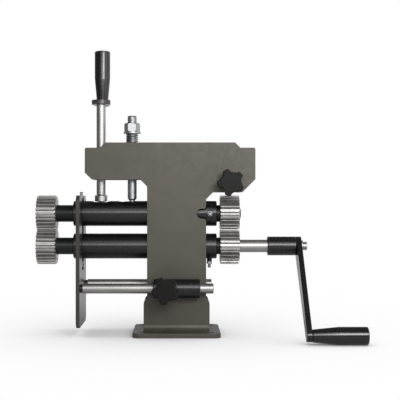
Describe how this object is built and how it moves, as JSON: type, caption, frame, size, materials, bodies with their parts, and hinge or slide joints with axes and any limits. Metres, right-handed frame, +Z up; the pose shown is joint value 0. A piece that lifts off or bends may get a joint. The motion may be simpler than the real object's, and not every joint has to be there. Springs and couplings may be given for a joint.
{
  "type": "bead roller",
  "caption": "Hand cranked bench bead roller: twin geared shafts in tube housings on a T-shaped frame, with pressure screw, sprung lift stud and sliding depth stop.",
  "frame": {"origin": "centre of the base plate's underside, at the middle of its bench bolt pattern", "axes": "+X along the shafts towards the crank, +Y from the front plate to the rear plate, +Z up"},
  "size_m": [0.552, 0.2113, 0.4988],
  "materials": {
    "powder_grey": "satin powder coat, warm dark grey",
    "plate_grey": "satin paint, dark grey",
    "tube_black": "semi-gloss black paint",
    "black_oxide": "black oxide",
    "toothed_steel": "machined",
    "ground_steel": "ground bright",
    "zinc": "bright zinc plate",
    "bronze": "machined",
    "handle_black": "polished black",
    "knob_black": "fine matt black",
    "spring_steel": "plain wire"
  },
  "bodies": {
    "frame": {"base_plate": "powder_grey", "front_plate": "powder_grey", "rear_plate": "powder_grey", "spindle_block": "plate_grey", "stud_block": "plate_grey", "arm_block": "plate_grey", "column_block": "plate_grey", "tube_saddle": "plate_grey", "lower_tube": "tube_black", "lower_bushes": "bronze", "lower_nipples": "zinc", "front_sleeve": "tube_black", "rear_sleeve": "tube_black", "swing_pin": "ground_steel", "pin_spacers": "black_oxide", "lift_spring": "spring_steel"},
    "drive_shaft": {"lower_shaft": "ground_steel", "lower_collars": "black_oxide", "lower_roll": "toothed_steel", "lower_gear": "toothed_steel", "lower_keys": "black_oxide", "lower_roll_washer": "zinc", "lower_roll_screw": "black_oxide", "lower_gear_clip": "black_oxide", "crank_hub": "tube_black", "crank_arm": "tube_black", "crank_washer": "zinc", "crank_screw": "zinc", "crank_bolt": "zinc"},
    "crank_handle": {"crank_grip": "handle_black"},
    "upper_housing": {"upper_tube": "tube_black", "upper_bushes": "bronze", "upper_nipples": "zinc"},
    "driven_shaft": {"upper_shaft": "ground_steel", "upper_collars": "black_oxide", "upper_roll": "toothed_steel", "upper_gear": "toothed_steel", "upper_keys": "black_oxide", "upper_washers": "zinc", "upper_screws": "black_oxide"},
    "pressure_foot": {"press_foot": "ground_steel", "foot_pin": "black_oxide"},
    "pressure_screw": {"press_spindle": "ground_steel", "press_arm": "plate_grey", "press_bolt": "zinc"},
    "pressure_handle": {"press_grip": "handle_black"},
    "lift_rod": {"lift_stud": "zinc", "lift_nut": "zinc", "lift_washer": "zinc"},
    "depth_stop": {"stop_plate": "plate_grey", "front_rod": "ground_steel", "rear_rod": "ground_steel", "rod_spacers": "black_oxide", "stop_screws": "black_oxide"},
    "rod_clamp_pad": {"clamp_pad": "bronze"},
    "rod_clamp": {"clamp_stud": "black_oxide", "clamp_knob": "knob_black"},
    "guard_screw": {"guard_stud": "black_oxide", "guard_knob": "knob_black"}
  },
  "joints": [
    {"name": "crank_turn", "type": "hinge", "parent": "frame", "child": "drive_shaft", "pos_m": [0, 0, 0.153], "axis": [1, 0, 0], "continuous": true},
    {"name": "crank_grip_spin", "type": "hinge", "parent": "drive_shaft", "child": "crank_handle", "pos_m": [0.26, -0.13406, 0.01485], "axis": [1, 0, 0], "continuous": true},
    {"name": "foot_slide", "type": "slide", "parent": "frame", "child": "pressure_foot", "axis": [0, 0, 1], "range_m": [0, 0.00481]},
    {"name": "spindle_turn", "type": "hinge", "parent": "pressure_foot", "child": "pressure_screw", "pos_m": [-0.1325, 0, 0.3], "axis": [0, 0, 1], "range_deg": [0, 864]},
    {"name": "press_grip_spin", "type": "hinge", "parent": "pressure_screw", "child": "pressure_handle", "pos_m": [-0.1325, 0.03, 0.45], "axis": [0, 0, 1], "continuous": true},
    {"name": "housing_swing", "type": "hinge", "parent": "frame", "child": "upper_housing", "pos_m": [0.04, 0, 0.245], "axis": [0, 1, 0], "range_deg": [0, 1.6]},
    {"name": "upper_shaft_turn", "type": "hinge", "parent": "upper_housing", "child": "driven_shaft", "pos_m": [0, 0, 0.21], "axis": [1, 0, 0], "continuous": true},
    {"name": "stud_slide", "type": "slide", "parent": "frame", "child": "lift_rod", "axis": [0, 0, 1], "range_m": [0, 0.0033], "deforming": ["lift_spring"]},
    {"name": "stop_slide", "type": "slide", "parent": "frame", "child": "depth_stop", "axis": [1, 0, 0], "range_m": [-0.035, 0.1]},
    {"name": "clamp_pad_slide", "type": "slide", "parent": "frame", "child": "rod_clamp_pad", "axis": [0, -1, 0], "range_m": [0, 0.00301]},
    {"name": "clamp_turn", "type": "hinge", "parent": "rod_clamp_pad", "child": "rod_clamp", "pos_m": [-0.019, -0.07, 0.0826], "axis": [0, -1, 0], "range_deg": [0, 720]},
    {"name": "guard_knob_turn", "type": "hinge", "parent": "frame", "child": "guard_screw", "pos_m": [0.092, -0.045, 0.2635], "axis": [0, -1, 0], "range_deg": [0, 360]}
  ],
  "couplings": [
    {"joint": "upper_shaft_turn", "follows": "crank_turn", "ratio": -1},
    {"joint": "foot_slide", "follows": "spindle_turn", "m_per_rad": 0.00031831},
    {"joint": "housing_swing", "follows": "spindle_turn", "ratio": 0.0018453},
    {"joint": "stud_slide", "follows": "spindle_turn", "m_per_rad": 0.00021774},
    {"joint": "clamp_pad_slide", "follows": "clamp_turn", "m_per_rad": 0.00023873}
  ]
}
